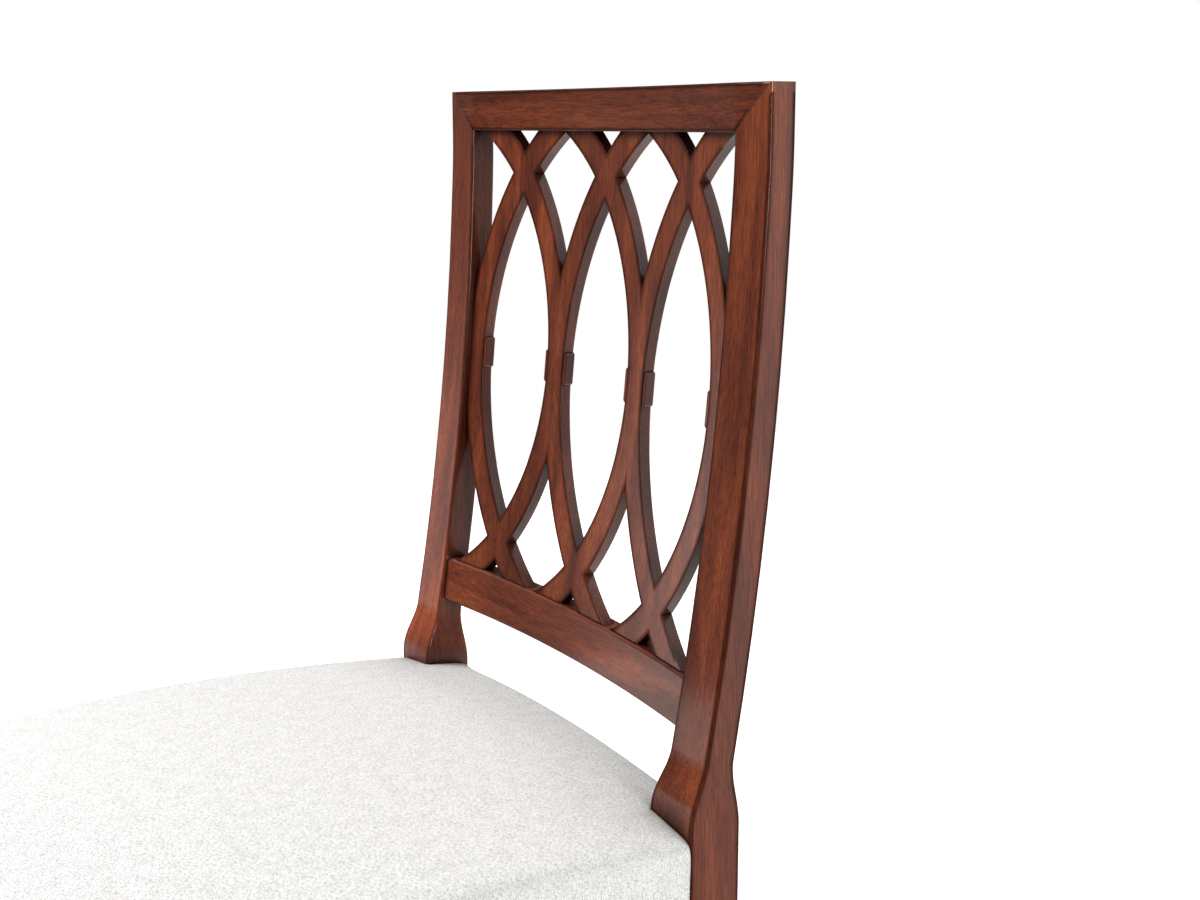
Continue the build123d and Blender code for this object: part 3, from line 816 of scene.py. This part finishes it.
def staple_tree():
    """Node tree that sets staples along the lines of the object that it is on."""
    tree = bpy.data.node_groups.new("staples_along_edge", "GeometryNodeTree")
    face = tree.interface
    face.new_socket("Geometry", in_out="INPUT", socket_type="NodeSocketGeometry")
    for name, value in staple_sizes.items():
        face.new_socket(name, in_out="INPUT", socket_type="NodeSocketFloat").default_value = value
    face.new_socket("Metal", in_out="INPUT", socket_type="NodeSocketMaterial")
    face.new_socket("Geometry", in_out="OUTPUT", socket_type="NodeSocketGeometry")
    new = tree.nodes.new
    given = new("NodeGroupInput")
    result = new("NodeGroupOutput")
    line = new("GeometryNodeMeshToCurve")
    steps = new("GeometryNodeCurveToPoints")
    steps.mode = "LENGTH"
    wire = new("GeometryNodeMeshCylinder")
    wire.inputs["Vertices"].default_value = 10
    lay = new("GeometryNodeTransform")
    lay.inputs["Rotation"].default_value = (math.pi / 2, 0, 0)
    half = new("ShaderNodeMath")
    half.operation = "MULTIPLY"
    half.inputs[1].default_value = 0.5
    copies = new("GeometryNodeInstanceOnPoints")
    real = new("GeometryNodeRealizeInstances")
    metal = new("GeometryNodeSetMaterial")
    turn = new("FunctionNodeAlignEulerToVector")
    turn.axis = "Y"
    tangent = new("GeometryNodeInputTangent")
    keep = new("GeometryNodeCaptureAttribute")
    keep.capture_items.new("VECTOR", "Tangent")
    link = tree.links.new
    link(given.outputs["Geometry"], line.inputs["Mesh"])
    link(line.outputs["Curve"], keep.inputs["Geometry"])
    link(tangent.outputs["Tangent"], keep.inputs["Tangent"])
    link(keep.outputs["Geometry"], steps.inputs["Curve"])
    link(given.outputs["Spacing"], steps.inputs["Length"])
    link(given.outputs["Wire"], half.inputs[0])
    link(half.outputs[0], wire.inputs["Radius"])
    link(given.outputs["Crown"], wire.inputs["Depth"])
    link(wire.outputs["Mesh"], lay.inputs["Geometry"])
    link(lay.outputs["Geometry"], copies.inputs["Instance"])
    link(steps.outputs["Points"], copies.inputs["Points"])
    link(keep.outputs["Tangent"], turn.inputs["Vector"])
    link(turn.outputs["Rotation"], copies.inputs["Rotation"])
    link(copies.outputs["Instances"], real.inputs["Geometry"])
    link(real.outputs["Geometry"], metal.inputs["Geometry"])
    link(given.outputs["Metal"], metal.inputs["Material"])
    link(metal.outputs["Geometry"], result.inputs["Geometry"])
    return tree


staples_tree = staple_tree()
print("staple tree has", len(staples_tree.nodes), "nodes")

# %% Staple the dust cloth
from_edge = 7 * mm
wire_drop = 0.35 * mm
hem = inset + from_edge
staple_z = sheet_top - sheet_thickness - wire_drop
front_run = [(-front_cut_x + hem, front_y + hem), (front_cut_x - hem, front_y + hem)]
rear_run = [(-rear_cut_x + hem, rear_y - hem), (rear_cut_x - hem, rear_y - hem)]
side_ends = [leg_back_y + hem, block_y - hem]
side_run = [(side_x(y) - hem, y) for y in side_ends]
runs = [front_run, rear_run, side_run, [(-x, y) for x, y in side_run]]
verts = [(x, y, staple_z) for run in runs for x, y in run]
line_mesh = bpy.data.meshes.new("dust_cloth_staples")
line_mesh.from_pydata(verts, [(2 * k, 2 * k + 1) for k in range(len(runs))], [])
staples = bpy.data.objects.new("dust_cloth_staples", line_mesh)
scene.collection.objects.link(staples)
modifier = staples.modifiers.new("staples", "NODES")
modifier.node_group = staples_tree
sockets = {item.name: item.identifier for item in staples_tree.interface.items_tree if item.in_out == "INPUT"}
for name, value in staple_sizes.items():
    modifier[sockets[name]] = value
modifier[sockets["Metal"]] = zinc
applied(staples)
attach(staples, "root")
print("staples have", len(staples.data.polygons), "faces")

# %% [markdown]
# The studio: a pale floor, one large soft lamp high in front of the chair and to the left of the picture, a weaker one
# on the other side, and a surround. The camera sees the surround white. Reflections see it bright on one side and dark
# on the other, so the faces of the lacquered boards differ, and for plain light it is dimmer than white. The floor is
# lifted toward white away from the chair, so that it keeps the shadow and still meets the surround.

# %% Floor
bright_side = (-0.47, 0.88, 0.0)
floor_mesh = bpy.data.meshes.new("studio_floor")
reach = 3.0
floor_corners = [(-reach, -reach, 0), (reach, -reach, 0), (reach, reach, 0), (-reach, reach, 0)]
floor_mesh.from_pydata(floor_corners, [], [(0, 1, 2, 3)])
floor = bpy.data.objects.new("studio_floor", floor_mesh)
scene.collection.objects.link(floor)
pale, tree, paint = new_material("pale_floor")
paint.inputs["Base Color"].default_value = (0.86, 0.86, 0.86, 1)
paint.inputs["Roughness"].default_value = 0.8
paint.inputs["Specular IOR Level"].default_value = 0.1
ray = add(tree, "LightPath")
spot = add(tree, "TexCoord")
away = add(tree, "VectorMath", operation="LENGTH")
join(tree, spot.outputs["Object"], away.inputs[0])
lift = spread(tree, away.outputs["Value"], start=0.5, end=1.3, low=0.4, high=0.8)
glow = add(tree, "Emission", {"Color": (1, 1, 1, 1)})
join(tree, number(tree, "MULTIPLY", ray.outputs["Is Camera Ray"], lift), glow.inputs["Strength"])
both = add(tree, "AddShader")
join(tree, paint.outputs["BSDF"], both.inputs[0])
join(tree, glow.outputs["Emission"], both.inputs[1])
toward = add(tree, "VectorMath", {1: bright_side}, operation="DOT_PRODUCT")
join(tree, spot.outputs["Object"], toward.inputs[0])
shade = spread(tree, toward.outputs["Value"], start=0.0, end=0.3, low=0.12, high=0.9)
mirror = add(tree, "Emission", {"Color": (1, 1, 1, 1)})
join(tree, shade, mirror.inputs["Strength"])
pick = add(tree, "MixShader")
join(tree, ray.outputs["Is Glossy Ray"], pick.inputs[0])
join(tree, both.outputs["Shader"], pick.inputs[1])
join(tree, mirror.outputs["Emission"], pick.inputs[2])
join(tree, pick.outputs["Shader"], tree.nodes["Material Output"].inputs["Surface"])
floor_mesh.materials.append(pale)
print("floor", 2 * reach, "m wide")

# %% Surround
world = bpy.data.worlds.new("studio")
scene.world = world
world.use_nodes = True
tree = world.node_tree
dim = tree.nodes["Background"]
dim.inputs["Color"].default_value = (1, 1, 1, 1)
dim.inputs["Strength"].default_value = 0.32
bright = add(tree, "Background", {"Color": (1, 1, 1, 1), "Strength": 1.0})
ray = add(tree, "LightPath")
way = add(tree, "TexCoord")
toward = add(tree, "VectorMath", {1: bright_side}, operation="DOT_PRODUCT")
join(tree, way.outputs["Generated"], toward.inputs[0])
screen = spread(tree, toward.outputs["Value"], start=-0.1, end=0.1, low=0.06, high=1.0)
parts = add(tree, "SeparateXYZ")
join(tree, way.outputs["Generated"], parts.inputs["Vector"])
from_below = spread(tree, parts.outputs["Z"], start=-0.03, end=-0.14, low=0.06, high=1.0)
right_hand = spread(tree, parts.outputs["X"], start=-0.2, end=0.2, low=0.12, high=1.0)
seen = number(tree, "MINIMUM", screen, number(tree, "MAXIMUM", from_below, right_hand))
mirror = add(tree, "Background", {"Color": (1, 1, 1, 1)})
join(tree, seen, mirror.inputs["Strength"])
pick_mirror = add(tree, "MixShader")
join(tree, ray.outputs["Is Glossy Ray"], pick_mirror.inputs[0])
join(tree, dim.outputs[0], pick_mirror.inputs[1])
join(tree, mirror.outputs[0], pick_mirror.inputs[2])
through = number(tree, "MAXIMUM", ray.outputs["Is Camera Ray"], ray.outputs["Is Transmission Ray"])
pick = add(tree, "MixShader")
join(tree, through, pick.inputs[0])
join(tree, pick_mirror.outputs[0], pick.inputs[1])
join(tree, bright.outputs[0], pick.inputs[2])
join(tree, pick.outputs[0], tree.nodes["World Output"].inputs["Surface"])
print("surround ready")


# %% Lamps
def soft_lamp(name, place, target, size, watts):
    """Square area lamp that points at a target."""
    lamp = bpy.data.lights.new(name, "AREA")
    lamp.size = size
    lamp.energy = watts
    holder = bpy.data.objects.new(name, lamp)
    holder.location = place
    holder.rotation_euler = (Vector(target) - Vector(place)).to_track_quat("-Z", "Y").to_euler()
    holder.visible_camera = False
    scene.collection.objects.link(holder)
    return holder


back_middle = (0, 0.2, 0.75)
soft_lamp("key_lamp", (-1.7, -1.6, 3.0), back_middle, size=2.0, watts=138)
soft_lamp("fill_lamp", (2.3, 0.25, 1.1), back_middle, size=0.8, watts=28)
print("two lamps")

# %% [markdown]
# The camera stands where the photograph was taken from: in front of the back and on the +X side, a little lower than
# the top of the chair, looking slightly down. Its place and lens were fitted to the corners of the back.

# %% Camera
camera = bpy.data.objects.new("photo_camera", bpy.data.cameras.new("photo_camera"))
scene.collection.objects.link(camera)
camera_place = (1.15099, -0.44113, 0.96342)
pan = math.radians(59.0395)
tilt = math.radians(-11.1791)
right = Vector((math.cos(pan), math.sin(pan), 0))
ahead = Vector((-math.sin(pan) * math.cos(tilt), math.cos(pan) * math.cos(tilt), math.sin(tilt)))
up = right.cross(ahead)
turned = Matrix((right, up, -ahead)).transposed().to_4x4()
camera.matrix_world = Matrix.Translation(camera_place) @ turned
camera.data.sensor_width = 36
camera.data.lens = 49.813
scene.camera = camera
scene.view_settings.view_transform = "Standard"
print("camera at", [round(v, 3) for v in camera.location])
